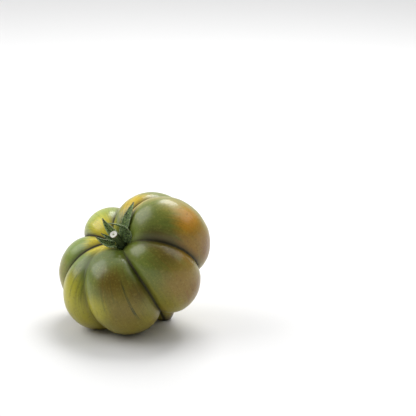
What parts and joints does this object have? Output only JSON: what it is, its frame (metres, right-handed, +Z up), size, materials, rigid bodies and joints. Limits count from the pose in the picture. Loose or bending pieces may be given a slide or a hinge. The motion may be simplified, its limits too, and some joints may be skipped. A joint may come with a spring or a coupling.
{
  "type": "ribbed tomato",
  "caption": "Deeply ribbed salad tomato as picked, lying on its side, with green calyx and short cut stem.",
  "frame": {"origin": "centre of the bounding box's bottom face, on the surface the tomato lies on", "axes": "+Z up; +X along the longest horizontal extent, to the right seen from the side the stem leans to; -Y towards that side"},
  "size_m": [0.0898, 0.0792, 0.079],
  "materials": {
    "tomato_skin": "smooth waxy tomato skin, olive green shoulders fading to yellow and orange brown, thin bloom",
    "calyx_green": "matt dark green leafy sepals with fine hairs and paler rolled edges",
    "stem_green": "matt green fibrous stem, pale where it was cut"
  },
  "bodies": {
    "root": {"fruit": "tomato_skin", "calyx_base": "calyx_green", "stem_stub": "stem_green", "sepal_back": "calyx_green", "sepal_back_left": "calyx_green", "sepal_left": "calyx_green", "sepal_front_left": "calyx_green", "sepal_front_right": "calyx_green", "sepal_right": "calyx_green"}
  },
  "joints": []
}
